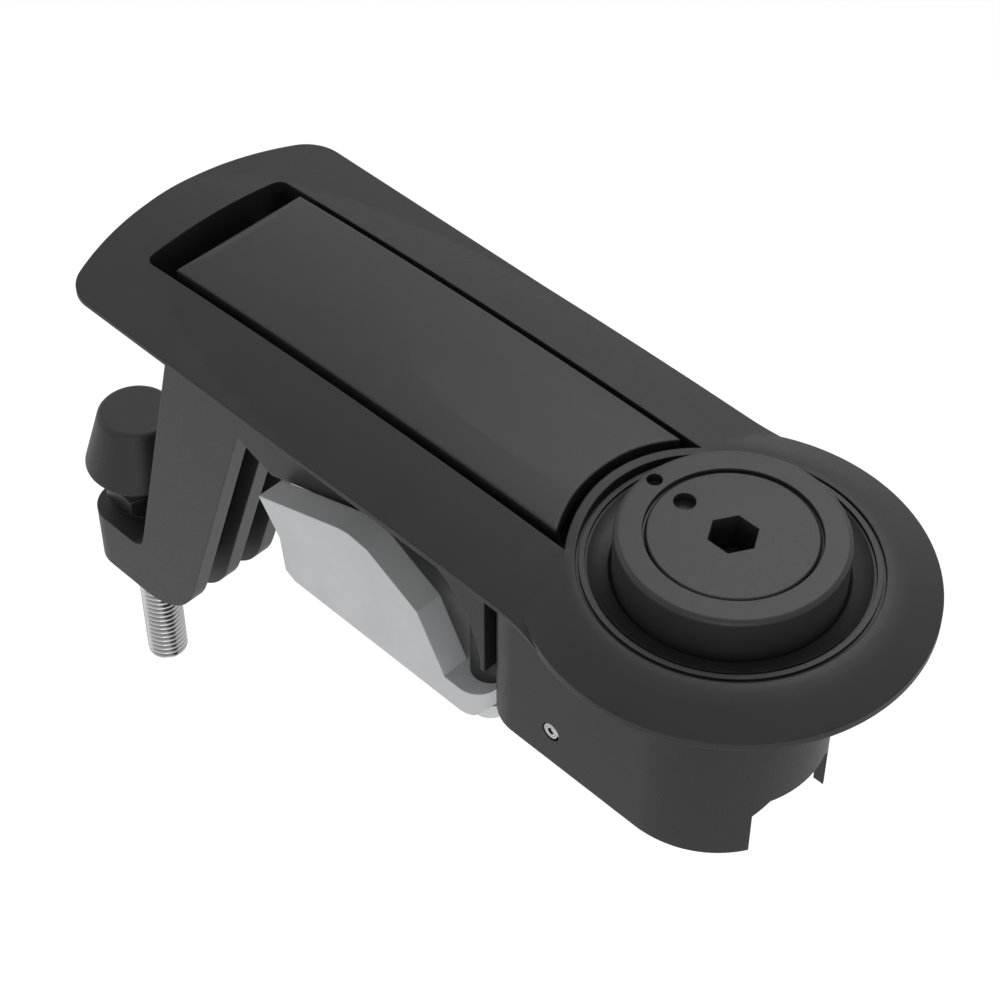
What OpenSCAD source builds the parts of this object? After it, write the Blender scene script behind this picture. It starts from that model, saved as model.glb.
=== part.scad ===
// Flush push-button compression latch with a swing handle and an adjustable rubber bumper.
// The button's axis is the Z axis, the panel face is z = 0, and the handle lies towards -X.

/* [Flange] */
// Width of the flange across its straight sides
flange_w = 65.6; // [63:0.2:70]
// Width of the flange beyond the pocket's far end
end_margin = 13.1; // [11:0.1:16]
// Radius of the flange's far end
flange_end_r = 70; // [60:1:90]
// Radius of the two corners at the far end
flange_corner_r = 8; // [5:0.5:12]
// Radius of the flange's round end
flange_round_r = 36.65; // [36:0.05:40]
// Radius of the hollow blend between side and round end
flange_neck_r = 40; // [25:1:60]
// Height of the crown above the panel
crown_h = 6.95; // [6.6:0.05:8]
// Radius of the crown along the handle
crown_long_r = 1282; // [1200:1:2000]
// Radius of the crown across the handle
crown_cross_r = 100; // [90:1:120]
// Height of the flat far end above the panel
end_crown_h = 2.9; // [2.5:0.1:3.4]
// Height of the dish rim above the panel
dish_h = 5.2; // [4.8:0.1:6]
// Height of the rim round the dome
rim_h = 1.6; // [1.2:0.1:2]
// Width of the gasket band under the flange
gasket_w = 5; // [3:0.5:5]
// Thickness of the fitted gasket
gasket_t = 0.8; // [0.5:0.1:1]

/* [Pocket] */
// Width of the handle pocket
pocket_w = 35.3; // [35:0.1:37]
// Finger room between the handle's end and the pocket's far end
finger_gap = 5.8; // [5:0.1:9]
// Radius of the pocket's hollow end round the button
pocket_arc_r = 28.4; // [28:0.1:29]
// Corner radius at the pocket's far end
pocket_corner_r = 2; // [1:0.5:6]
// Thickness of the pocket walls
pan_wall = 2; // [1.6:0.1:3]
// Depth of the pocket walls below the panel face
pan_depth = 18; // [16:0.5:20]
// Radius of the sweep from the pocket walls down to the body
pan_sweep_r = 22; // [16:1:23]

/* [Body] */
// Radius of the button barrel
barrel_r = 21; // [20.6:0.1:22]
// Depth of the barrel below the panel face
barrel_depth = 48.8; // [46:0.2:52]
// Reach of the body box from the button axis
box_reach = 41; // [40.6:0.1:43]
// Corner radius of the body box
box_corner_r = 9.5; // [6:0.5:11]
// Wall thickness of the body
body_wall = 2; // [1.6:0.1:2.4]
// Height of the cable notch in the barrel
notch_h = 12.8; // [8:0.2:15]
// Half angle of the cable notch
notch_angle = 30; // [20:1:40]
// Distance of the bracket posts from the button axis
post_x = 47; // [46.5:0.1:49]
// Spacing of the bracket posts
post_spacing = 22; // [20:0.5:24]
// Diameter of a bracket post
post_d = 8; // [7:0.5:9]
// Depth of the post ends below the panel face
post_depth = 51.7; // [50:0.1:54]

/* [Button] */
// Diameter of the button
button_d = 40.6; // [40:0.1:41]
// Height of the button above the panel face
button_h = 12.7; // [11:0.1:15]
// Travel of the button
button_stroke = 4; // [3:0.1:4.2]
// Diameter of the lock plug
plug_d = 29.8; // [28:0.1:31]
// Size of the hex recess across its flats
hex_af = 8; // [6:0.5:10]
// Depth of the hex recess
hex_depth = 8; // [5:0.5:9]
// Diameter of the raised ring of the dish
dish_d = 53; // [52:0.1:53.4]

/* [Handle and lever] */
// Width of the handle
handle_w = 31.76; // [31:0.02:33]
// Reach of the handle from the button axis
handle_reach = 129.5; // [122:0.1:136]
// Gap between the pocket's hollow end and the handle
handle_gap = 2; // [1.5:0.1:3]
// Height of the handle's crown above the flange's crown
handle_proud = 0.35; // [0:0.05:1]
// Thickness of the handle plate
handle_t = 3; // [2.5:0.1:4]
// Distance of the pivot from the handle's far end
pivot_back = 6.5; // [5.5:0.1:8]
// Depth of the pivot below the panel face
pivot_depth = 12; // [11.5:0.1:12.5]
// Diameter of the pivot pin
pivot_d = 6; // [5:0.1:6.5]
// Width of the lever across its outer ribs
lever_w = 24; // [23:0.1:24.4]
// Thickness of a lever rib
rib_t = 4; // [3:0.1:5]
// Height of the foot
foot_h = 14.9; // [12:0.1:18]
// Depth of the foot's top below the panel face
foot_depth = 101.8; // [100:0.1:106]

/* [Bumper] */
// Distance of the bumper beyond the pivot
foot_out = 49; // [48:0.1:52]
// Thread diameter of the adjusting screw
screw_d = 9.8; // [8:0.1:10]
// Depth of the screw's tip below the panel face
screw_tip = 155.8; // [145:0.1:165]
// Depth of the bumper's face below the panel face
bumper_top = 74.2; // [70:0.1:78]
// Height of the rubber bumper
bumper_h = 15.8; // [12:0.1:16.5]
// Diameter of the bumper's face
bumper_face_d = 18; // [15:0.2:22]
// Diameter of the bumper's base
bumper_base_d = 26; // [23:0.2:26.5]
// Size of the jam nut across its flats
nut_af = 16; // [15:0.5:16.5]
// Height of the jam nut
nut_h = 6; // [5:0.1:7]

/* [Bracket] */
// Side gap between the lever and the bracket's cheeks
cheek_gap = 0.7; // [0.5:0.1:2]
// Thickness of the bracket's cheeks
bracket_cheek = 6.3; // [5:0.1:6.4]
// Depth of the bracket's underside below the panel face
bracket_depth = 58; // [57:0.1:60]

/* [Fits] */
// Radial clearance of turning and sliding fits
fit = 0.05; // [0.03:0.01:0.08]
// Gap between pieces that pass or rest by each other
gap = 0.3; // [0.25:0.05:0.4]

/* [Hidden] */
$fn = 96;

// The crown's highest line lies this far from the button axis, and the crown ends under the dome
crown_x = 48;
crown_end = 14;
far_above = 30;
gasket_inset = 2;

// Gap drawn between pieces that screws clamp together
clamp_gap = 0.02;

// Places that follow from the handle's reach
pocket_reach = handle_reach + finger_gap;
flange_reach = pocket_reach + end_margin;
pivot_x = handle_reach - pivot_back;
bumper_x = pivot_x + foot_out;
bracket_w = lever_w + 2 * (cheek_gap + bracket_cheek);

// Depths inside the button barrel; the guide's neck is as deep as the button's head goes
dish_floor = 3.6;
head_depth = 7;
guide_neck = head_depth + button_stroke + 0.5;
collar_wall = 2.2;
spring_floor = 20;
seal_depth = 3.5;
guide_floor = 27.6;
ledge_t = 4;
chamber_r = barrel_r - 1.7;
skirt_r = barrel_r - 3.5;
ledge_r = 13.5;
open_r = barrel_r - body_wall;
box_half = barrel_r;
neck_r = button_d / 2 + fit;
collar_r = neck_r + 1.6;
roof_depth = 10;
sill_depth = 17;

// The lock plug's stack, from the web of the button downwards
plug_proud = 12.4;
web_top = 16;
web_t = 3;
shaft_r = 6;
cam_top = 23.9;
cam_t = 3.2;
cam_reach = 16.5;
cam_w = 8;

// The lever's hook and web; the arm's top is cut to the handle's underside
hook_w = 12;
hook_inner = box_reach - 2.4;
hook_outer = hook_inner - 2;
hook_tip = hook_inner - 3;
arm_high = 5;
hook_bottom = 22.5;
web_wall = 5;

// The release rocker
rocker_x = hook_tip - 14.2;
rocker_depth = 40.5;
rocker_pin_r = 2;
rocker_hub_r = 4.2;
rocker_hub_w = 25;
arm_tip_x = 1;
leg_x = 3.5;
leg_w = 5;
leg_inner = 8.5;
leg_t = 3;
arm_top = 38;
arm_t = 4.5;
nose_w = 12;

bushing_t = 1.1;
ear_r = 7;
spring_wire = 1;
spring_turns = 3;

function arc_pts(c, r, from, to, n = 12) = [for (i = [0:n]) c + r * [cos(from + (to - from) * i / n),
    sin(from + (to - from) * i / n)]];
function mirrored(pts) = [for (i = [len(pts) - 2:-1:1]) [pts[i][0], -pts[i][1]]];

// Half of the flange's edge, from its far tip to its round end, moved inwards by inset
function flange_edge(inset) = let (
    end_c = flange_end_r - flange_reach,
    side = flange_w / 2,
    corner_y = side - flange_corner_r,
    slant = asin(corner_y / (flange_end_r - flange_corner_r)),
    corner_x = end_c - (flange_end_r - flange_corner_r) * cos(slant),
    neck_y = side + flange_neck_r,
    neck_x = -sqrt(pow(flange_round_r + flange_neck_r, 2) - neck_y * neck_y),
    turn = atan2(neck_y, -neck_x)
) concat(
    arc_pts([end_c, 0], flange_end_r - inset, 180, 180 - slant, 16),
    arc_pts([corner_x, corner_y], flange_corner_r - inset, 180 - slant, 90, 12),
    arc_pts([neck_x, neck_y], flange_neck_r + inset, -90, -turn, 10),
    arc_pts([0, 0], flange_round_r - inset, 180 - turn, 0, 48)
);

module flange_outline(inset = 0) {
    edge = flange_edge(inset);
    polygon(concat(edge, mirrored(edge)));
}

// Everything under the crowned surface, which bends along the handle and across it
module under_crown(raised = 0) {
    spread = 6;
    translate([-crown_x, 0, crown_h + raised - crown_long_r])
        rotate([90, 0, 0])
        rotate([0, 0, 90 - spread])
        rotate_extrude(angle = 2 * spread, $fn = 720)
        intersection() {
            translate([crown_long_r - crown_cross_r, 0]) circle(r = crown_cross_r, $fn = 360);
            translate([crown_long_r - far_above, -45]) square([far_above, 90]);
        }
}

// Extrudes an outline drawn in X and Z across the part, centred on the handle's middle
module across(width) {
    translate([0, width / 2, 0]) rotate([90, 0, 0]) linear_extrude(width) children();
}

module both_sides() {
    children();
    mirror([0, 1, 0]) children();
}

module ring(outer, inner, height) {
    difference() {
        cylinder(r = outer, h = height);
        translate([0, 0, -1]) cylinder(r = inner, h = height + 2);
    }
}

// A coil of round wire about Z from z = 0, swept as a tube, with a straight tail at each end
module coil(mean_r, wire_r, turns, length, tail_a = 0, tail_b = 0, sides = 6, steps = 20) {
    count = round(turns * steps);
    rise = length / (turns * 360);
    function wire_ring(a, tail) = [for (j = [0:sides - 1]) let (b = j * 360 / sides, rr = mean_r + wire_r * cos(b))
        [rr * cos(a) - tail * sin(a), rr * sin(a) + tail * cos(a), max(0, a * rise) + wire_r * sin(b)]];
    rings = concat([wire_ring(0, -tail_a - 0.01)], [for (i = [0:count]) wire_ring(i * 360 / steps, 0)],
        [wire_ring(count * 360 / steps, tail_b + 0.01)]);
    n = len(rings) - 1;
    walls = [for (i = [0:n - 1]) for (j = [0:sides - 1]) let (k = (j + 1) % sides)
        each [[i * sides + j, i * sides + k, (i + 1) * sides + k],
            [i * sides + j, (i + 1) * sides + k, (i + 1) * sides + j]]];
    first = [for (j = [1:sides - 2]) [0, j + 1, j]];
    last = [for (j = [1:sides - 2]) [n * sides, n * sides + j, n * sides + j + 1]];
    polyhedron([for (r = rings) each r], concat(walls, first, last));
}

module dome() {
    flat_r = pocket_arc_r;
    drop = dish_h - rim_h;
    below = (pow(flange_round_r, 2) - pow(flat_r, 2) - drop * drop) / (2 * drop);
    dome_r = sqrt(pow(flat_r, 2) + pow(below + drop, 2));
    intersection() {
        cylinder(r = flange_round_r, h = dish_h);
        translate([0, 0, rim_h - below]) sphere(r = dome_r, $fn = 180);
    }
}

module flange_solid() {
    intersection() {
        linear_extrude(far_above) flange_outline();
        union() {
            intersection() {
                under_crown();
                translate([-flange_reach, -flange_w, -1]) cube([flange_reach + crown_end, 2 * flange_w, far_above]);
            }
            dome();
            translate([-flange_reach - 1, 0, end_crown_h - 300]) rotate([0, 90, 0])
                cylinder(r = 300, h = flange_reach - 20, $fn = 360);
        }
    }
}

// Plan of the body: the round barrel drawn out into a box with rounded corners
module body_plan(inset = 0) {
    r = box_corner_r - inset;
    c = [-box_reach + box_corner_r, box_half - box_corner_r];
    half = concat(arc_pts(c, r, 180, 90, 12), arc_pts([0, 0], box_half - inset, 90, 0, 30));
    polygon(concat(half, [for (i = [len(half) - 2:-1:0]) [half[i][0], -half[i][1]]]));
}

// Plan of the pocket or the handle: a strip with rounded far corners and a hollow end round the button
module pocket_plan(half, reach, arc_r, corner) {
    turn = asin(half / arc_r);
    edge = concat(arc_pts([-reach + corner, half - corner], corner, 180, 90, 10),
        arc_pts([0, 0], arc_r, 180 - turn, 180, 24));
    polygon(concat(edge, [for (i = [len(edge) - 2:-1:0]) [edge[i][0], -edge[i][1]]]));
}

// Black cast housing: crowned flange, pocket walls, button barrel and bracket posts
module housing() {
    pan_half = pocket_w / 2 + pan_wall;
    color([0.13, 0.13, 0.135]) union() {
        difference() {
            union() {
                flange_solid();
                translate([-pocket_reach - pan_wall, -pan_half, -pan_depth]) cube([pocket_reach - 20, 2 * pan_half, pan_depth + 1]);
                pivot_ears(pan_half);
                sweep_walls(pan_half);
                translate([0, 0, -barrel_depth]) linear_extrude(barrel_depth + 1) body_plan();
                translate([0, 0, -guide_neck - collar_wall]) cylinder(r = collar_r + collar_wall, h = guide_neck + collar_wall + 1);
            }
            pocket_space();
            barrel_space();
            box_space();
            cable_notch();
            gasket_groove();
            pivot_hole();
            rocker_hole();
        }
        bracket_posts();
        pad_ledges();
    }
}

module pivot_ears(pan_half) {
    translate([-pivot_x, 0, -pivot_depth]) rotate([90, 0, 0]) cylinder(r = ear_r, h = 2 * pan_half, center = true);
}

module sweep_walls(pan_half) {
    start = -box_reach - pan_sweep_r;
    across(2 * pan_half) difference() {
        translate([start, -pan_depth - pan_sweep_r]) square([pan_sweep_r + 1, pan_sweep_r + pan_depth]);
        translate([start, -pan_depth - pan_sweep_r]) circle(r = pan_sweep_r);
    }
}

// Room for the handle and the lever, open underneath up to the body box
module pocket_space() {
    half = pocket_w / 2;
    end_wall_depth = 9;
    translate([0, 0, -sill_depth]) linear_extrude(sill_depth + far_above)
        pocket_plan(half, pocket_reach, pocket_arc_r, pocket_corner_r);
    translate([-pocket_reach, -half, -far_above - barrel_depth])
        cube([pocket_reach - box_reach, 2 * half, far_above + barrel_depth]);
    translate([-pocket_reach - pan_wall - 1, -lever_w / 2 - 2 * gap, -pan_depth - 1])
        cube([pan_wall + 2, lever_w + 4 * gap, pan_depth + 1 - end_wall_depth]);
}

module barrel_space() {
    translate([0, 0, 1]) cylinder(r = dish_d / 2 + fit, h = far_above);
    translate([0, 0, -guide_neck]) cylinder(r = collar_r, h = far_above);
    translate([0, 0, -spring_floor]) cylinder(r = chamber_r, h = far_above);
    translate([0, 0, -guide_floor]) cylinder(r = skirt_r, h = far_above);
    translate([0, 0, -barrel_depth - 1]) cylinder(r = ledge_r, h = far_above);
    translate([0, 0, -barrel_depth - 1]) cylinder(r = open_r, h = barrel_depth + 1 - guide_floor - ledge_t);
    rotate([0, 0, -45]) translate([0, -cam_w / 2 - 1, -guide_floor - ledge_t - 1]) cube([skirt_r, cam_w + 2, ledge_t + 2]);
}

// The rocker's chamber between the box end and the barrel
module box_space() {
    difference() {
        translate([0, 0, -barrel_depth - 1]) linear_extrude(barrel_depth + 1 - roof_depth) intersection() {
            body_plan(body_wall);
            translate([-box_reach, -box_half]) square([box_reach, 2 * box_half]);
        }
        translate([0, 0, -guide_floor - ledge_t]) cylinder(r = barrel_r, h = far_above);
        translate([0, 0, -guide_neck - collar_wall]) cylinder(r = collar_r + collar_wall, h = far_above);
    }
}

module cable_notch() {
    wide = barrel_r * 2 * sin(notch_angle);
    bevel = 3;
    rotate([90, 0, 90]) linear_extrude(barrel_r + 2)
        polygon([[-wide / 2, -barrel_depth - 1], [wide / 2, -barrel_depth - 1], [wide / 2, -barrel_depth + notch_h - bevel],
            [wide / 2 - bevel, -barrel_depth + notch_h], [-wide / 2 + bevel, -barrel_depth + notch_h],
            [-wide / 2, -barrel_depth + notch_h - bevel]]);
}

module gasket_band(thick) {
    difference() {
        linear_extrude(thick) flange_outline(gasket_inset);
        translate([0, 0, -1]) linear_extrude(thick + 2) flange_outline(gasket_inset + gasket_w);
    }
}

module gasket_groove() {
    translate([0, 0, -0.01]) gasket_band(gasket_t + 0.01);
}

module pivot_hole() {
    translate([-pivot_x, 0, -pivot_depth]) rotate([90, 0, 0]) cylinder(r = pivot_d / 2 + fit, h = flange_w, center = true);
}

module rocker_hole() {
    translate([-rocker_x, 0, -rocker_depth]) rotate([90, 0, 0]) cylinder(r = rocker_pin_r + fit, h = flange_w, center = true);
}

module bracket_posts() {
    top = 27;
    both_sides() translate([-post_x, post_spacing / 2, -post_depth]) difference() {
        union() {
            cylinder(d = post_d, h = post_depth - top);
            translate([0, -post_d / 4, post_depth - barrel_depth]) cube([post_x - box_reach + 1, post_d / 2, barrel_depth - top]);
        }
        translate([0, 0, -1]) cylinder(r = 2.5 + fit, h = 17);
    }
}

module pad_ledges() {
    both_sides() translate([-box_reach, pocket_w / 2 - 4, -roof_depth]) cube([8, 4 + 1, 2.7]);
}

// Dish and guide ring round the button, turned from one piece
module button_guide() {
    rim_r = dish_d / 2;
    color([0.15, 0.15, 0.155]) rotate_extrude($fn = 180) polygon([
        [neck_r + 0.01, -guide_neck], [collar_r - fit, -guide_neck], [collar_r - fit, 1], [rim_r, 1],
        [rim_r, dish_h - 0.5], [rim_r - 0.5, dish_h - 0.5], [rim_r - 0.55, dish_h + 0.1], [rim_r - 1.5, dish_h + 0.1],
        [rim_r - 1.55, dish_h - 0.5], [rim_r - 2, dish_h - 0.5], [rim_r - 2.05, dish_h - 0.1], [rim_r - 2.7, dish_h - 0.6],
        [rim_r - 4, dish_floor + 0.4], [neck_r + 0.6, dish_floor], [neck_r + 0.01, dish_floor - 0.5]]);
}

// Flat rubber gasket let into the flange's underside
module flange_gasket() {
    color([0.07, 0.07, 0.07]) gasket_band(gasket_t);
}

// Crowned lift handle with turned-down side flanges
module handle() {
    half = handle_w / 2;
    roll_r = 6;
    top = crown_h + handle_proud;
    side_depth = 5;
    color([0.17, 0.17, 0.175]) difference() {
        intersection() {
            translate([0, 0, -side_depth]) linear_extrude(far_above)
                pocket_plan(half, handle_reach, pocket_arc_r + handle_gap, 2.5);
            union() {
                under_crown(handle_proud);
                translate([-handle_reach - 1, -half - 1, -side_depth]) cube([handle_reach, 2 * half + 2, side_depth + 1]);
            }
            across(2 * half + 2) union() {
                translate([-handle_reach + roll_r, -side_depth]) square([handle_reach, far_above]);
                translate([-handle_reach + roll_r, top - 2.2 - roll_r]) circle(r = roll_r);
            }
        }
        difference() {
            translate([-handle_reach - 1, -half + 2.4, -side_depth - 1]) cube([handle_reach, 2 * half - 4.8, far_above]);
            intersection() {
                translate([0, 0, crown_h - 6]) cube([4 * handle_reach, 2 * handle_w, 12], center = true);
                difference() {
                    cube([4 * handle_reach, 2 * handle_w, 60], center = true);
                    under_crown(handle_proud - handle_t);
                }
            }
        }
        for (p = screw_places()) translate([p[0], p[1], 0]) cylinder(r = 1.5 + fit, h = screw_length(p) + 0.2);
    }
}

// Ribbed casting under the handle: arm with hook, leg, and foot with the tapped hole
module pawl_lever() {
    half = lever_w / 2;
    color([0.16, 0.16, 0.165]) difference() {
        union() {
            for (y = [-half, -rib_t / 2, half - rib_t]) translate([0, y + rib_t, 0]) rotate([90, 0, 0])
                linear_extrude(rib_t) rib_outline(y == -rib_t / 2);
            across(lever_w) leg_web();
            foot();
            across(hook_w) hook_outline();
            across(lever_w) translate([-pivot_x + 11, 0]) square([pivot_x - hook_inner - 12.4, arm_high]);
        }
        translate([-bumper_x, 0, -foot_depth - foot_h - 1]) cylinder(d = screw_d + 2 * fit, h = foot_h + 2);
        translate([-pivot_x, 0, -pivot_depth]) rotate([90, 0, 0])
            cylinder(r = pivot_d / 2 + bushing_t + 2 * fit, h = lever_w + 2, center = true);
        for (p = screw_places()) translate([p[0], p[1], -12]) cylinder(r = 1.5 + fit, h = 20);
        difference() {
            translate([-handle_reach, -lever_w, -1]) cube([handle_reach, 2 * lever_w, far_above]);
            under_crown(handle_proud - handle_t - clamp_gap);
        }
    }
}

// The screw heads clear the outer ribs by 0.2 mm
screw_head_r = 2.6;
screw_y = lever_w / 2 - rib_t - screw_head_r - 0.2;
function screw_places() = [for (x = [-pivot_x + 18, -hook_inner - 16.4]) for (y = [-screw_y, screw_y]) [x, y]];

// The screws end 1.4 mm under the handle's crowned top
function screw_length(p) = crown_h + handle_proud - 1.4 - pow(p[0] + crown_x, 2) / (2 * crown_long_r)
    - pow(p[1], 2) / (2 * crown_cross_r);

// Outer face of the leg, from under the pivot down to the rounded corner at the foot
function leg_face() = concat([[-pivot_x - 12.4, -pivot_depth + 1.5]],
    arc_pts([-bumper_x + 8.7, -foot_depth + 5], 5, -14.7, -90, 8));

module rib_outline(middle) {
    bottom = -foot_depth - foot_h;
    top = middle ? -6 : arm_high;
    heel_r = 20.5;
    arm = middle ? [[-pivot_x + 10, -pivot_depth - 10]] :
        [[-pivot_x + 14, -pivot_depth - 30.1], [-pivot_x + 30.3, -pivot_depth - 24.7],
        [-pivot_x + 45.5, -pivot_depth - 21.5], [-hook_inner - 25.4, -hook_bottom - 8.7],
        [-hook_inner - 15.4, -hook_bottom - 3.3], [-hook_inner - 5.4, -hook_bottom + 7.5],
        [-hook_inner - 1.4, -hook_bottom + 9.5], [-hook_inner - 1.4, top]];
    difference() {
        polygon(concat([[-pivot_x + 5, top], [-pivot_x - 8, -pivot_depth + 7]], leg_face(),
            [[-bumper_x, -foot_depth], [-bumper_x, bottom]],
            arc_pts([-bumper_x + 11.3, bottom + heel_r], heel_r, -90, -18.7, 10),
            [[-pivot_x + 3.8, -pivot_depth - 26.3]], arm));
        if (!middle) arm_window();
    }
}

// Lightening window in the arm of each outer rib
module arm_window() {
    left = -pivot_x + 23;
    right = -hook_inner - 19.4;
    polygon([[left, -7], [right, -7], [right - 7, -pivot_depth - 7], [right - 16, -pivot_depth - 12],
        [left + 10, -pivot_depth - 14.5], [left, -pivot_depth - 12]]);
}

module leg_web() {
    polygon(concat(leg_face(), [[-bumper_x, -foot_depth - 5], [-bumper_x + 21, -foot_depth - 5],
        [-bumper_x + 15.4 + web_wall, -foot_depth + 10.6], [-pivot_x - 12.4 + web_wall, -pivot_depth + 1.5]]));
}

// Solid boss round the tapped hole, with rounded outer corners
module foot() {
    r = 8;
    half = lever_w / 2;
    tip = bumper_x + 9;
    back = bumper_x - 10;
    translate([0, 0, -foot_depth - foot_h]) linear_extrude(foot_h) union() {
        translate([-tip + r, -half]) square([tip - r - back, lever_w]);
        translate([-tip, -half + r]) square([r + 1, lever_w - 2 * r]);
        for (s = [-1, 1]) translate([-tip + r, s * (half - r)]) circle(r = r);
    }
}

// The hook that the release rocker's nose holds down
module hook_outline() {
    polygon([[-hook_inner - 11.4, arm_high], [-hook_inner - 11.4, -9], [-hook_inner, -13], [-hook_inner, -hook_bottom],
        [-hook_tip - 0.6, -hook_bottom], [-hook_tip, -hook_bottom + 0.8], [-hook_tip, -hook_bottom + 2.2],
        [-hook_outer, -hook_bottom + 3], [-hook_outer, arm_high]]);
}

module pan_head(r, h, shank_r, length) {
    difference() {
        union() {
            cylinder(r = shank_r, h = length);
            translate([0, 0, -h]) cylinder(r = r, h = h);
        }
        translate([0, 0, -h - 1]) cylinder(r = r * 0.45, h = 1 + h * 0.5, $fn = 6);
    }
}

// Screws that draw the handle down on the lever's web
module handle_screws() {
    color("silver") for (p = screw_places()) translate([p[0], p[1], 0]) pan_head(screw_head_r, 1.8, 1.5, screw_length(p));
}

module pivot_pin() {
    half = pocket_w / 2 + pan_wall;
    color("silver") translate([-pivot_x, 0, -pivot_depth]) rotate([90, 0, 0]) difference() {
        union() {
            cylinder(d = pivot_d, h = 2 * half + 4, center = true);
            translate([0, 0, half + gap / 3]) cylinder(d = pivot_d + 3, h = 2);
        }
        translate([0, 0, -half - 1.3]) ring(pivot_d, pivot_d / 2 - 0.6, 0.9);
    }
}

module pivot_clip() {
    half = pocket_w / 2 + pan_wall;
    color("dimgray") translate([-pivot_x, half + 0.43, -pivot_depth]) rotate([-90, 0, 0]) difference() {
        ring(pivot_d / 2 + 2, pivot_d / 2 - 0.6 + fit, 0.8);
        translate([0, -pivot_d * 0.3, -1]) cube([pivot_d * 2, pivot_d * 0.6, 3]);
    }
}

module pivot_bushes() {
    color("ivory") both_sides() translate([-pivot_x, lever_w / 2 - rib_t - 1, -pivot_depth]) rotate([-90, 0, 0])
        ring(pivot_d / 2 + fit + bushing_t, pivot_d / 2 + fit, rib_t + 1.6);
}

// Two torsion springs on the pivot pin, outside the lever's ears
module lever_springs() {
    inner = lever_w / 2 + 0.8;
    outer = pocket_w / 2 - gap;
    mean_r = pivot_d / 2 + bushing_t + 0.2;
    wire_r = spring_wire / 2;
    color("gainsboro") both_sides() translate([-pivot_x, inner + wire_r, -pivot_depth]) rotate([-90, 0, 0])
        coil(mean_r, wire_r, spring_turns, outer - inner - spring_wire, 4.5, 9);
}

module rest_pads() {
    color([0.06, 0.06, 0.06]) both_sides() translate([-box_reach + 1, handle_w / 2 - 2.2, -roof_depth + 2.7])
        cube([6, 2, roof_depth - 2.7 - 5 - gap]);
}

// Round push button, hollow for the lock plug, with two legs that tip the rocker
module button() {
    r = button_d / 2;
    bore = plug_d / 2 + fit;
    color([0.2, 0.2, 0.205]) difference() {
        union() {
            rotate_extrude($fn = 180) polygon(concat([[shaft_r + fit, -web_top - web_t], [bore + 1.6, -web_top - web_t],
                [bore + 1.6, -cam_top + 1.2], [skirt_r - fit, -cam_top + 1.2], [skirt_r - fit, -head_depth],
                [r - 0.8, -head_depth], [r, -head_depth + 0.8]],
                arc_pts([r - 1, button_h - 1], 1, 0, 90, 6),
                [[bore + 0.5, button_h], [bore + 0.45, button_h - 1], [bore, button_h - 1.1], [bore, -web_top],
                [shaft_r + fit, -web_top]]));
            both_sides() translate([0, leg_inner + leg_t, 0]) rotate([90, 0, 0]) linear_extrude(leg_t)
                polygon(concat(arc_pts([-leg_x, -arm_top + gap + leg_w / 2], leg_w / 2, 180, 360, 12),
                [[-leg_x + leg_w / 2, -web_top - 1], [-leg_x - leg_w / 2, -web_top - 1]]));
        }
        translate([0, 0, -seal_depth - 0.8]) ring(r + 1, r - 1.2, 1.6);
        translate([-18, 0, button_h - 2]) cylinder(r = 1.45, h = 3, $fn = 32);
    }
}

module button_seal() {
    r = button_d / 2;
    color([0.05, 0.05, 0.05]) translate([0, 0, -seal_depth]) rotate_extrude() translate([r - 0.6, 0]) circle(r = 0.5, $fn = 24);
}

module button_spring() {
    top = -head_depth - gap;
    wire_r = 0.55;
    mean_r = (chamber_r + skirt_r) / 2;
    color("gainsboro") translate([0, 0, -spring_floor + wire_r + gap])
        coil(mean_r, wire_r, 4, top + spring_floor - gap - 2 * wire_r, steps = 30);
}

// Lock plug with the hex recess, the index dot and the tail that carries the cam
module lock_plug() {
    r = plug_d / 2;
    color([0.2, 0.2, 0.205]) difference() {
        rotate_extrude($fn = 180) polygon([[0, -cam_top - cam_t + 0.4], [shaft_r - 1.5, -cam_top - cam_t + 0.4],
            [shaft_r - 1.5, -cam_top], [shaft_r, -cam_top], [shaft_r, -web_top + fit], [r, -web_top + fit],
            [r, plug_proud - 0.3], [r - 0.3, plug_proud], [0, plug_proud]]);
        translate([0, 0, plug_proud - hex_depth]) cylinder(r = hex_af / sqrt(3), h = hex_depth + 1, $fn = 6);
        translate([-11, 0, plug_proud - 2]) cylinder(r = 2, h = 3, $fn = 32);
        translate([0, 0, -6]) rotate_extrude() translate([r, 0]) circle(r = 1, $fn = 24);
        translate([0, 0, -web_top - web_t - 1.3]) ring(shaft_r + 1, shaft_r - 0.7, 1);
        translate([0, 0, -cam_top - cam_t]) cylinder(r = 2 + fit, h = 9);
    }
}

module plug_seal() {
    color([0.05, 0.05, 0.05]) translate([0, 0, -6]) rotate_extrude() translate([plug_d / 2 - 0.5, 0]) circle(r = 0.45, $fn = 24);
}

module plug_clip() {
    color("dimgray") translate([0, 0, -web_top - web_t - 1.2]) difference() {
        ring(shaft_r + 1.6, shaft_r - 0.7 + fit, 0.8);
        translate([0, -shaft_r * 0.5, -1]) cube([shaft_r * 2, shaft_r, 3]);
    }
}

// Cam that stands over the ledge when the plug is turned, so that the button can't go down
module lock_cam() {
    color("silver") translate([0, 0, -cam_top - cam_t]) rotate([0, 0, -45]) difference() {
        union() {
            cylinder(r = 7.5, h = cam_t);
            translate([0, -cam_w / 2, 0]) cube([cam_reach - cam_w / 2, cam_w, cam_t]);
            translate([cam_reach - cam_w / 2, 0, 0]) cylinder(d = cam_w, h = cam_t);
        }
        translate([0, 0, -1]) cylinder(r = shaft_r - 1.5 + fit, h = cam_t + 2);
    }
}

module cam_screw() {
    color("silver") translate([0, 0, -cam_top - cam_t]) pan_head(5.5, 2.4, 2, 7);
}

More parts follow.
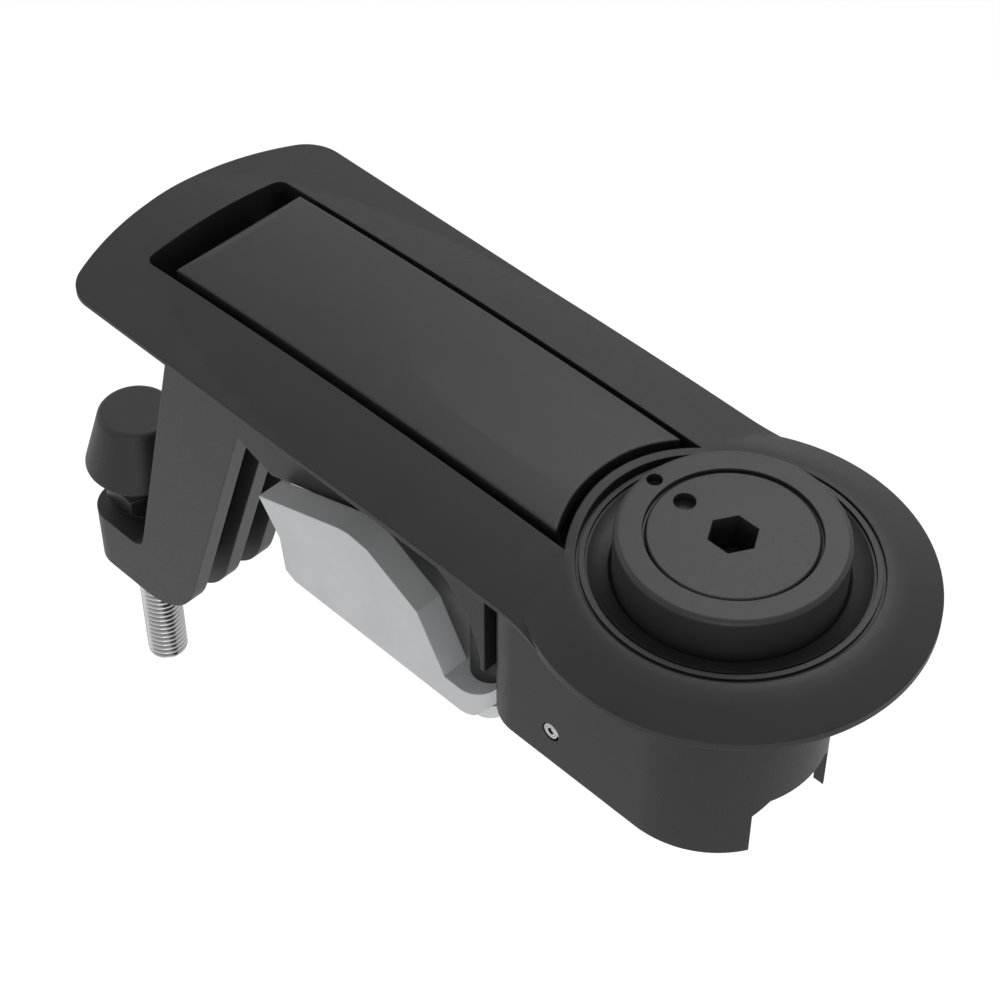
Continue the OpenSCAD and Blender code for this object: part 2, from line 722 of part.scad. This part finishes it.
// Release rocker: hub on the pin, two arms under the button's legs and the catch nose
module rocker() {
    top = -arm_top;
    color([0.55, 0.55, 0.56]) difference() {
        union() {
            both_sides() translate([-rocker_x, rocker_hub_w / 2, -rocker_depth]) rotate([90, 0, 0])
                cylinder(r = rocker_hub_r, h = rocker_hub_w / 2 - 3);
            both_sides() translate([0, leg_inner + leg_t + 0.5, 0]) rotate([90, 0, 0]) linear_extrude(leg_t + 1)
                polygon([[-rocker_x, -rocker_depth + rocker_hub_r], [-leg_x - leg_w / 2 - 1, top], [arm_tip_x, top],
                    [arm_tip_x, top - arm_t], [-rocker_x, -rocker_depth - rocker_hub_r]]);
            across(nose_w) nose_outline();
            across(rocker_hub_w) translate([-rocker_x - 5, -rocker_depth + 2.4]) square([3.6, 4]);
        }
        translate([-rocker_x, 0, -rocker_depth]) rotate([90, 0, 0]) cylinder(r = rocker_pin_r + fit, h = 60, center = true);
        translate([-rocker_x, 0, -rocker_depth]) rotate([90, 0, 0]) cylinder(r = rocker_hub_r + 0.6, h = 6, center = true);
    }
}

module nose_outline() {
    tip = hook_tip - gap;
    polygon([[-rocker_x - 2, -rocker_depth + 6.3], [-rocker_x - 7.6, -rocker_depth + 14.5],
        [-rocker_x - 7.6, -hook_bottom + 6.7], [-hook_tip + 2.6, -hook_bottom + 6.7], [-tip, -hook_bottom + 5.1],
        [-tip, -hook_bottom + 3.1], [-hook_tip + 3, -hook_bottom + 2.1], [-hook_tip + 3, -rocker_depth + 12.5],
        [-rocker_x - 5, -rocker_depth + 2.5]]);
}

// Coiled spring pin, rolled from strip
module rocker_pin() {
    turns = 2.25;
    strip = 0.42;
    pitch = 0.5;
    steps = 54;
    outer = [for (i = [0:steps]) let (a = i * turns * 360 / steps, r = rocker_pin_r - pitch * turns * i / steps) r * [cos(a), sin(a)]];
    inner = [for (i = [steps:-1:0]) let (a = i * turns * 360 / steps, r = rocker_pin_r - strip - pitch * turns * i / steps)
        r * [cos(a), sin(a)]];
    color("silver") translate([-rocker_x, 0, -rocker_depth]) rotate([90, 0, 0])
        linear_extrude(2 * box_half - 0.2, center = true) polygon(concat(outer, inner));
}

module rocker_spring() {
    mean_r = rocker_pin_r + 0.7;
    color("gainsboro") translate([-rocker_x, 2.1, -rocker_depth]) rotate([90, 0, 0]) coil(mean_r, 0.4, 4, 4.2, 3, 6, steps = 16);
}

// Zinc-plated stud with a plain shank in the bumper
module adjusting_screw() {
    r = screw_d / 2;
    color("silver") translate([-bumper_x, 0, -screw_tip]) union() {
        cylinder(r1 = r - 1, r2 = r, h = 1);
        translate([0, 0, 1]) cylinder(r = r, h = screw_tip - bumper_top - 5);
    }
}

module jam_nut() {
    color([0.14, 0.14, 0.14]) translate([-bumper_x, 0, -foot_depth + 1.2]) difference() {
        cylinder(r = nut_af / sqrt(3), h = nut_h, $fn = 6);
        translate([0, 0, -1]) cylinder(d = screw_d + 2 * fit, h = nut_h + 2);
    }
}

module jam_washer() {
    color([0.14, 0.14, 0.14]) translate([-bumper_x, 0, -foot_depth]) ring(nut_af / 2 + 0.3, screw_d / 2 + 2 * fit, 1.2);
}

// Tapered rubber bumper, bonded round the stud's plain end
module bumper() {
    color([0.15, 0.15, 0.15]) translate([-bumper_x, 0, -bumper_top - bumper_h]) rotate_extrude() polygon(concat(
        [[0, bumper_h - 4 + fit], [0, bumper_h]],
        [for (p = arc_pts([bumper_face_d / 2 - 1.5, bumper_h - 1.5], 1.5, 90, 12, 5)) p],
        [[bumper_base_d / 2, 1.2], [bumper_base_d / 2 - 0.8, 0], [screw_d / 2 + fit, 0], [screw_d / 2 + fit, bumper_h - 4 + fit]]));
}

module bumper_washer() {
    color("silver") translate([-bumper_x, 0, -bumper_top - bumper_h - 1.5]) ring(bumper_base_d / 2 - 3, screw_d / 2 + fit, 1.5);
}

// Zinc-plated U-shaped bracket: two cheeks with a pair of horns each, on one base
module mounting_bracket() {
    base_end = post_x - 4.6;
    left = pivot_x - 25;
    color([0.75, 0.76, 0.77]) difference() {
        union() {
            both_sides() translate([0, bracket_w / 2, 0]) rotate([90, 0, 0]) linear_extrude(bracket_cheek) cheek_outline(left);
            intersection() {
                across(bracket_w) polygon([[-left, -post_depth], [-base_end, -post_depth], [-base_end, -bracket_depth + 2],
                    [-base_end - 2, -bracket_depth], [-left + 2.6, -bracket_depth], [-left, -bracket_depth + 1.4]]);
                translate([0, 0, -bracket_depth - 1]) linear_extrude(bracket_depth) base_plan(left, base_end);
            }
        }
        both_sides() translate([-post_x, post_spacing / 2, -bracket_depth - 1]) cylinder(r = 2.75, h = 10);
    }
}

// Plan of the bracket's base, rounded at the corners next to the body
module base_plan(left, base_end) {
    r = 5;
    half = bracket_w / 2;
    edge = concat([[-left, half]], arc_pts([-base_end - r, half - r], r, 90, 0, 8));
    polygon(concat(edge, [for (i = [len(edge) - 1:-1:0]) [edge[i][0], -edge[i][1]]]));
}

module cheek_outline(left) {
    polygon([[-left - 6.7, -post_depth + 11.7], [-left + 17.4, -post_depth + 20.1], [-left + 20.2, -post_depth + 20.6],
        [-left + 25.5, -post_depth + 20], [-post_x - 12, -post_depth + 12.9], [-post_x - 5, -post_depth + 0.7],
        [-post_x - 4.8, -post_depth], [-post_x - 4.8, -bracket_depth], [-left + 2.6, -bracket_depth],
        [-left, -bracket_depth + 1.4], [-left - 1.1, -post_depth + 3.8]]);
}

module bracket_screws() {
    color("silver") both_sides() translate([-post_x, post_spacing / 2, -bracket_depth - 1]) pan_head(4.2, 3, 2.5, 20);
}

module bracket_washers() {
    color("silver") both_sides() translate([-post_x, post_spacing / 2, -bracket_depth - 1]) ring(4.6, 2.5 + 2 * fit, 1);
}

housing();
button_guide();
flange_gasket();
handle();
pawl_lever();
handle_screws();
pivot_pin();
pivot_clip();
pivot_bushes();
lever_springs();
rest_pads();
button();
button_seal();
button_spring();
lock_plug();
plug_seal();
plug_clip();
lock_cam();
cam_screw();
rocker();
rocker_pin();
rocker_spring();
adjusting_screw();
jam_nut();
jam_washer();
bumper();
bumper_washer();
mounting_bracket();
bracket_screws();
bracket_washers();
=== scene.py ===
import math

import bmesh
import bpy
from mathutils import Matrix, Vector


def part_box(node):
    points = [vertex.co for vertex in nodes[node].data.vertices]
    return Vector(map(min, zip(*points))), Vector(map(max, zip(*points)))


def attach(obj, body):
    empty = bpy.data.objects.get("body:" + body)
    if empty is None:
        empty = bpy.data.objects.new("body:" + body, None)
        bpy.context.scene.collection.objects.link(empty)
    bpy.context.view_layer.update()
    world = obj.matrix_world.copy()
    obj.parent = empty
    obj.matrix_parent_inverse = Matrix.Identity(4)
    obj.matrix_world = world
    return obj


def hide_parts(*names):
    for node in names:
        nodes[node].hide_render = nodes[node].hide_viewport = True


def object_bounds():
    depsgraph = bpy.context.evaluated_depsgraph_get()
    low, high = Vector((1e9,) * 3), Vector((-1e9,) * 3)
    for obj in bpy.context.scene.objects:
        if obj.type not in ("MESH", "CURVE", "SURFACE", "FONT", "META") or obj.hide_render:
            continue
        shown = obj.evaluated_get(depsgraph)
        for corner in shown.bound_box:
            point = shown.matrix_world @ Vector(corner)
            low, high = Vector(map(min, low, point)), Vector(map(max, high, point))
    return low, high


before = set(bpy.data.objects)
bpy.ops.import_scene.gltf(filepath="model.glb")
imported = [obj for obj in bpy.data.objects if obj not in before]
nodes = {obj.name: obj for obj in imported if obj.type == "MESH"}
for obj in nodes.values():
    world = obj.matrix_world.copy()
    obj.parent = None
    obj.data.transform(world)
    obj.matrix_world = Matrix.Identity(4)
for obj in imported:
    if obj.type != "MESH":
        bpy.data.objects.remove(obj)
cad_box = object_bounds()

MM = 0.001

# Camera
# A long lens above the round end of the latch, looking along the handle from the right front.
# The latch is seen at 45 degrees from above, as it would be photographed on a bench.
camera_place = Vector((179.1, -236.1, 320.5)) * MM
camera_right = Vector((0.7094, 0.7048, 0.0))
camera_up = Vector((-0.5036, 0.5069, 0.6997))
camera_back = camera_right.cross(camera_up).normalized()
camera_roll = math.radians(0.10)

lens = bpy.data.cameras.new("camera")
lens.lens = 90.9
lens.sensor_width = 36.0
lens.clip_start = 0.01
lens.clip_end = 20.0
camera = bpy.data.objects.new("camera", lens)
bpy.context.scene.collection.objects.link(camera)
turn = Matrix((camera_right, camera_up, camera_back)).transposed().to_4x4()
camera.matrix_world = Matrix.Translation(camera_place) @ turn @ Matrix.Rotation(camera_roll, 4, "Z")
bpy.context.scene.camera = camera
bpy.context.scene.view_settings.view_transform = "Standard"

# Studio
# A pale floor well below the latch, a bright even surround and three soft lamps.
# The floor and the surround are white to the eye, and only the floor's shadow shows on them.
floor_drop = 0.20
floor_half = 6.0
floor_rough = 0.9
floor_lift = 0.42
sky_strength = 0.55


def white_sight(tree):
    """Gives 1 where the camera, a mirror or glass looks at the surface, and 0 for all other light."""
    path = tree.nodes.new("ShaderNodeLightPath")
    seen = tree.nodes.new("ShaderNodeMath")
    seen.operation = "MAXIMUM"
    through = tree.nodes.new("ShaderNodeMath")
    through.operation = "MAXIMUM"
    tree.links.new(path.outputs["Is Camera Ray"], seen.inputs[0])
    tree.links.new(path.outputs["Is Glossy Ray"], seen.inputs[1])
    tree.links.new(seen.outputs[0], through.inputs[0])
    tree.links.new(path.outputs["Is Transmission Ray"], through.inputs[1])
    return through.outputs[0]


floor_mesh = bpy.data.meshes.new("floor")
floor_mesh.from_pydata([(-floor_half, -floor_half, 0), (floor_half, -floor_half, 0),
                        (floor_half, floor_half, 0), (-floor_half, floor_half, 0)], [], [(0, 1, 2, 3)])
floor = bpy.data.objects.new("floor", floor_mesh)
floor.location = (0, 0, cad_box[0][2] - floor_drop)
bpy.context.scene.collection.objects.link(floor)
floor_paint = bpy.data.materials.new("floor_paint")
floor_paint.use_nodes = True
floor_tree = floor_paint.node_tree
floor_shader = floor_tree.nodes["Principled BSDF"]
floor_shader.inputs["Base Color"].default_value = (0.8, 0.8, 0.8, 1)
floor_shader.inputs["Roughness"].default_value = floor_rough
floor_glow = floor_tree.nodes.new("ShaderNodeEmission")
floor_strength = floor_tree.nodes.new("ShaderNodeMath")
floor_strength.operation = "MULTIPLY"
floor_strength.inputs[1].default_value = floor_lift
floor_sum = floor_tree.nodes.new("ShaderNodeAddShader")
floor_tree.links.new(white_sight(floor_tree), floor_strength.inputs[0])
floor_tree.links.new(floor_strength.outputs[0], floor_glow.inputs["Strength"])
floor_tree.links.new(floor_shader.outputs[0], floor_sum.inputs[0])
floor_tree.links.new(floor_glow.outputs[0], floor_sum.inputs[1])
floor_tree.links.new(floor_sum.outputs[0], floor_tree.nodes["Material Output"].inputs["Surface"])
floor.data.materials.append(floor_paint)

world = bpy.data.worlds.new("surround")
world.use_nodes = True
bpy.context.scene.world = world
sky_tree = world.node_tree
sky = sky_tree.nodes["Background"]
sky.inputs["Color"].default_value = (1.0, 1.0, 1.0, 1)
sky.inputs["Strength"].default_value = sky_strength
bright = sky_tree.nodes.new("ShaderNodeEmission")
bright.inputs["Color"].default_value = (1, 1, 1, 1)
sky_mix = sky_tree.nodes.new("ShaderNodeMixShader")
sky_tree.links.new(white_sight(sky_tree), sky_mix.inputs["Fac"])
sky_tree.links.new(sky.outputs[0], sky_mix.inputs[1])
sky_tree.links.new(bright.outputs[0], sky_mix.inputs[2])
sky_tree.links.new(sky_mix.outputs[0], sky_tree.nodes["World Output"].inputs["Surface"])


def soft_lamp(name, place, aim, size, power):
    """A square soft box at place, turned towards aim."""
    light = bpy.data.lights.new(name, "AREA")
    light.shape = "SQUARE"
    light.size = size
    light.energy = power
    lamp = bpy.data.objects.new(name, light)
    lamp.location = place
    lamp.rotation_euler = (Vector(aim) - Vector(place)).to_track_quat("-Z", "Y").to_euler()
    bpy.context.scene.collection.objects.link(lamp)
    return lamp


soft_lamp("key_lamp", (-0.15, 0.36, 0.56), (-0.04, 0, 0), 0.34, 1.9)
soft_lamp("side_lamp", (0.66, -0.84, 0.14), (-0.07, 0, -0.04), 0.6, 2.7)
soft_lamp("rim_lamp", (-0.95, -0.3, 0.3), (-0.09, 0, -0.05), 0.5, 0.8)

# Housing
# A zinc casting with a crowned flange, the pocket for the handle and the barrel under the button.
# It is powder coated satin black, so the coat has a fine grain and its edges are soft.
coat_black = (0.009, 0.009, 0.0094, 1)
coat_grain = 0.35 * MM
coat_edge = 0.45 * MM


def coated(name, colour, rough, grain_size, grain_depth, edge, mottle=0.12, metallic=0.0, spec=0.5):
    """A finish with a fine grain, slightly mottled colour and gloss, and rounded edges."""
    paint = bpy.data.materials.new(name)
    paint.use_nodes = True
    tree = paint.node_tree
    shader = tree.nodes["Principled BSDF"]
    shader.inputs["Metallic"].default_value = metallic
    shader.inputs["Specular IOR Level"].default_value = spec
    where = tree.nodes.new("ShaderNodeTexCoord")
    grain = tree.nodes.new("ShaderNodeTexNoise")
    grain.inputs["Scale"].default_value = 1.0 / grain_size
    grain.inputs["Detail"].default_value = 3.0
    cloud = tree.nodes.new("ShaderNodeTexNoise")
    cloud.inputs["Scale"].default_value = 90.0
    cloud.inputs["Detail"].default_value = 4.0
    tree.links.new(where.outputs["Object"], grain.inputs["Vector"])
    tree.links.new(where.outputs["Object"], cloud.inputs["Vector"])
    tint = tree.nodes.new("ShaderNodeValToRGB")
    tint.color_ramp.elements[0].position = 0.3
    tint.color_ramp.elements[1].position = 0.7
    tint.color_ramp.elements[0].color = tuple(c * (1 - mottle) for c in colour[:3]) + (1,)
    tint.color_ramp.elements[1].color = tuple(c * (1 + mottle) for c in colour[:3]) + (1,)
    tree.links.new(cloud.outputs["Fac"], tint.inputs["Fac"])
    tree.links.new(tint.outputs["Color"], shader.inputs["Base Color"])
    gloss = tree.nodes.new("ShaderNodeMapRange")
    gloss.inputs["From Min"].default_value = 0.3
    gloss.inputs["From Max"].default_value = 0.7
    gloss.inputs["To Min"].default_value = rough - 0.05
    gloss.inputs["To Max"].default_value = rough + 0.05
    tree.links.new(grain.outputs["Fac"], gloss.inputs["Value"])
    tree.links.new(gloss.outputs["Result"], shader.inputs["Roughness"])
    soft_edge = tree.nodes.new("ShaderNodeBevel")
    soft_edge.samples = 6
    soft_edge.inputs["Radius"].default_value = edge
    bump = tree.nodes.new("ShaderNodeBump")
    bump.inputs["Strength"].default_value = 0.25
    bump.inputs["Distance"].default_value = grain_depth
    tree.links.new(grain.outputs["Fac"], bump.inputs["Height"])
    tree.links.new(soft_edge.outputs["Normal"], bump.inputs["Normal"])
    tree.links.new(bump.outputs["Normal"], shader.inputs["Normal"])
    return paint


weld_reach = 0.002 * MM
flat_weight = 60


def dress(node, paint, crease=24.0):
    """Gives a CAD piece its finish, its curved faces smooth and its true edges sharp."""
    piece = nodes[node]
    piece.data.materials.clear()
    piece.data.materials.append(paint)
    for face in piece.data.polygons:
        face.use_smooth = True
    piece.data.set_sharp_from_angle(angle=math.pi)
    joined = piece.modifiers.new("joined", "WELD")
    joined.merge_threshold = weld_reach
    edges = piece.modifiers.new("edges", "EDGE_SPLIT")
    edges.split_angle = math.radians(crease)
    edges.use_edge_sharp = False
    flow = piece.modifiers.new("flow", "WEIGHTED_NORMAL")
    flow.weight = flat_weight
    return piece


housing_coat = coated("housing_coat", coat_black, 0.5, coat_grain, 0.02 * MM, coat_edge, spec=0.32)
dress("housing", housing_coat)

# Button guide
# The dish round the button is a ring of its own, turned and pressed into the housing.
# Its fine grooves and the thin raised ring are in the solid; it has the same black as the button.
guide_black = (0.012, 0.012, 0.0125, 1)
guide_coat = coated("guide_coat", guide_black, 0.48, 0.3 * MM, 0.01 * MM, 0.12 * MM, spec=0.32)
dress("button_guide", guide_coat)

# Flange gasket and rest pads
# Flat strips of black rubber: one in the groove under the flange, two under the closed handle.
rubber_black = (0.022, 0.022, 0.022, 1)
gasket_rubber = coated("gasket_rubber", rubber_black, 0.75, 0.5 * MM, 0.03 * MM, 0.1 * MM)
dress("flange_gasket", gasket_rubber)
dress("rest_pads", gasket_rubber)

# Handle
# The crowned lift handle is a thin casting with turned-down sides, coated like the housing.
# Hands keep its top a little smoother than the flange.
handle_black = (0.011, 0.011, 0.0114, 1)
handle_edge = 0.9 * MM
handle_coat = coated("handle_coat", handle_black, 0.46, coat_grain, 0.015 * MM, handle_edge, spec=0.36)
dress("handle", handle_coat)

# Pawl lever
# A ribbed casting under the handle: the arm with the hook, the long leg and the foot.
lever_black = (0.0125, 0.0125, 0.0128, 1)
lever_edge = 0.4 * MM
lever_coat = coated("lever_coat", lever_black, 0.5, coat_grain, 0.025 * MM, lever_edge, spec=0.36)
dress("pawl_lever", lever_coat)

# Button and lock plug
# Moulded in a fine satin black. The plug has a hex recess and an index dot, the button a smaller one.
button_black = (0.014, 0.014, 0.0145, 1)
button_coat = coated("button_coat", button_black, 0.48, 0.25 * MM, 0.008 * MM, 0.25 * MM, 0.06, spec=0.36)
dress("button", button_coat)
dress("lock_plug", button_coat)

# Small rubber rings
# The seals round the button and the lock plug are soft nitrile rings.
ring_rubber = coated("ring_rubber", rubber_black, 0.6, 0.6 * MM, 0.01 * MM, 0.05 * MM)
dress("button_seal", ring_rubber)
dress("plug_seal", ring_rubber)

# Zinc-plated fasteners
# Screws, pins, washers, the cam and the rocker are steel, plated with bright zinc of a fine even grain.
zinc_bright = (0.5, 0.505, 0.515, 1)
zinc_plate = coated("zinc_plate", zinc_bright, 0.3, 0.4 * MM, 0.006 * MM, 0.12 * MM, 0.08, 1.0)
for name in ("handle_screws", "pivot_pin", "lock_cam", "cam_screw", "rocker", "rocker_pin",
             "bumper_washer", "bracket_screws", "bracket_washers"):
    dress(name, zinc_plate)

# Springs and clips
# Drawn spring wire and blued spring-steel rings, a little darker than the plating.
wire_grey = (0.36, 0.36, 0.37, 1)
spring_wire = coated("spring_wire", wire_grey, 0.32, 0.3 * MM, 0.004 * MM, 0.05 * MM, 0.1, 1.0)
for name in ("plug_clip", "pivot_clip"):
    dress(name, spring_wire)
for name in ("lever_springs", "button_spring", "rocker_spring"):
    coil = dress(name, spring_wire, 100.0)
    coil.modifiers.remove(coil.modifiers["flow"])
    round_wire = coil.modifiers.new("round_wire", "SUBSURF")
    round_wire.levels = 1
    round_wire.render_levels = 2

# Pivot bushes
# Plain acetal bushes in the lever's ears.
acetal_white = (0.6, 0.58, 0.5, 1)
bush_acetal = coated("bush_white", acetal_white, 0.45, 0.4 * MM, 0.008 * MM, 0.1 * MM)
dress("pivot_bushes", bush_acetal)

# Mounting bracket
# A stout U-shaped bracket with two horns a side, blasted and then zinc plated to a pale satin.
bracket_zinc = (0.55, 0.555, 0.565, 1)
bracket_plate = coated("bracket_plate", bracket_zinc, 0.45, 0.5 * MM, 0.012 * MM, 0.4 * MM, 0.05, 0.12)
dress("mounting_bracket", bracket_plate)

# Bumper
# A tapered bumper of black rubber, moulded round the stud's plain end.
bumper_black = (0.0095, 0.0095, 0.0095, 1)
bumper_edge = 0.5 * MM
bumper_rubber = coated("bumper_rubber", bumper_black, 0.52, 0.6 * MM, 0.03 * MM, bumper_edge, spec=0.4)
dress("bumper", bumper_rubber)

# Jam nut and washer
# Black-oxide steel: a plain washer, and a hex nut turned to a cone at both ends.
# The cones cut the six corners to arcs, and the bore is countersunk at both mouths.
oxide_black = (0.012, 0.012, 0.013, 1)
oxide_coat = coated("oxide_coat", oxide_black, 0.32, 0.4 * MM, 0.006 * MM, 0.2 * MM, 0.15, 0.3)
dress("jam_washer", oxide_coat)
nut_low, nut_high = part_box("jam_nut")
nut_axis = (nut_low + nut_high) / 2
nut_flat = (nut_high.y - nut_low.y) / 2
nut_face = nut_flat * 0.94
nut_steps = 96
nut_cone = math.tan(math.radians(30))
nut_bore = 5.0 * MM
nut_sink = 0.5 * MM
nut_mesh = bmesh.new()
nut_rings = [[] for _ in range(8)]
for j in range(nut_steps):
    angle = 2 * math.pi * j / nut_steps
    hex_r = nut_flat / math.cos(angle % (math.pi / 3) - math.pi / 6)
    drop = (hex_r - nut_face) * nut_cone
    profile = [(nut_bore, nut_low.z + nut_sink), (nut_bore + nut_sink, nut_low.z), (nut_face, nut_low.z),
               (hex_r, nut_low.z + drop), (hex_r, nut_high.z - drop), (nut_face, nut_high.z),
               (nut_bore + nut_sink, nut_high.z), (nut_bore, nut_high.z - nut_sink)]
    for ring, (radius, height) in zip(nut_rings, profile):
        ring.append(nut_mesh.verts.new((nut_axis.x + radius * math.cos(angle),
                                        nut_axis.y + radius * math.sin(angle), height)))
for low, high in zip(nut_rings, nut_rings[1:] + nut_rings[:1]):
    for j in range(nut_steps):
        k = (j + 1) % nut_steps
        nut_mesh.faces.new((low[j], high[j], high[k], low[k]))
bmesh.ops.recalc_face_normals(nut_mesh, faces=nut_mesh.faces)
nut_data = bpy.data.meshes.new("turned_nut")
nut_mesh.to_mesh(nut_data)
nut_mesh.free()
for face in nut_data.polygons:
    face.use_smooth = True
nut_data.set_sharp_from_angle(angle=math.radians(20))
nut_data.materials.append(oxide_coat)
nut = bpy.data.objects.new("turned_nut", nut_data)
bpy.context.scene.collection.objects.link(nut)
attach(nut, "nut")
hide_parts("jam_nut")

# Adjusting stud
# An M10 stud, rolled with a 1.5 mm thread from its tip to the bumper, in bright zinc plate.
# The thread is a true helix with a bevelled first turn at the tip, and its roots are painted dark as
# shade.
thread_pitch = 1.5 * MM
thread_depth = 0.82 * MM
stud_low, stud_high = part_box("adjusting_screw")
stud_r = (stud_high.x - stud_low.x) / 2
stud_axis = Vector(((stud_low.x + stud_high.x) / 2, (stud_low.y + stud_high.y) / 2, 0))
steps_round = 40
steps_turn = 10
plain_from = stud_high.z - 14 * MM
flank_slope = 2.6
root_share = 0.15
tip_bevel = 1.3 * MM


def stud_radius(height, angle):
    """Radius of the thread's surface at a height and an angle round the stud."""
    phase = ((height - stud_low.z) / thread_pitch - angle / (2 * math.pi)) % 1.0
    ridge = min(1.0, max(0.0, flank_slope * abs(phase - 0.5) - root_share))
    radius = stud_r - thread_depth * (1 - ridge)
    if height > plain_from:
        radius = stud_r
    bevel = stud_r - tip_bevel + (height - stud_low.z)
    return min(radius, bevel)


stud_mesh = bmesh.new()
root_mark = stud_mesh.verts.layers.float.new("thread_root")
count = int((stud_high.z - stud_low.z) / thread_pitch * steps_turn)
rings = []
for i in range(count + 1):
    height = stud_low.z + (stud_high.z - stud_low.z) * i / count
    ring = []
    for j in range(steps_round):
        angle = 2 * math.pi * j / steps_round
        radius = stud_radius(height, angle)
        spot = stud_mesh.verts.new((stud_axis.x + radius * math.cos(angle),
                                    stud_axis.y + radius * math.sin(angle), height))
        spot[root_mark] = min(1.0, (stud_r - radius) / thread_depth)
        ring.append(spot)
    rings.append(ring)
for low, high in zip(rings, rings[1:]):
    for j in range(steps_round):
        k = (j + 1) % steps_round
        stud_mesh.faces.new((low[j], low[k], high[k], high[j]))
stud_mesh.faces.new(list(reversed(rings[0])))
stud_mesh.faces.new(rings[-1])
stud_data = bpy.data.meshes.new("threaded_stud")
stud_mesh.to_mesh(stud_data)
stud_mesh.free()
for face in stud_data.polygons:
    face.use_smooth = len(face.vertices) == 4
stud = bpy.data.objects.new("threaded_stud", stud_data)
bpy.context.scene.collection.objects.link(stud)
thread_zinc = (0.5, 0.5, 0.505, 1)
# Painted shade: this dark colour stands in for the shade down in the thread roots.
thread_root_shade = (0.03, 0.03, 0.03, 1)
stud_zinc = coated("stud_zinc", thread_zinc, 0.2, 0.3 * MM, 0.003 * MM, 0.05 * MM, 0.05, 1.0)
stud_tree = stud_zinc.node_tree
stud_shader = stud_tree.nodes["Principled BSDF"]
bare_tint = stud_shader.inputs["Base Color"].links[0].from_socket
# Painted shade: the base colour is mixed towards the dark root colour by how deep each point lies in the
# thread.
root_depth = stud_tree.nodes.new("ShaderNodeAttribute")
root_depth.attribute_name = "thread_root"
root_shade_mix = stud_tree.nodes.new("ShaderNodeMix")
root_shade_mix.data_type = "RGBA"
root_shade_mix.inputs[7].default_value = thread_root_shade
stud_tree.links.new(root_depth.outputs["Fac"], root_shade_mix.inputs["Factor"])
stud_tree.links.new(bare_tint, root_shade_mix.inputs[6])
stud_tree.links.new(root_shade_mix.outputs[2], stud_shader.inputs["Base Color"])
stud.data.materials.append(stud_zinc)
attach(stud, "stud")
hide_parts("adjusting_screw")
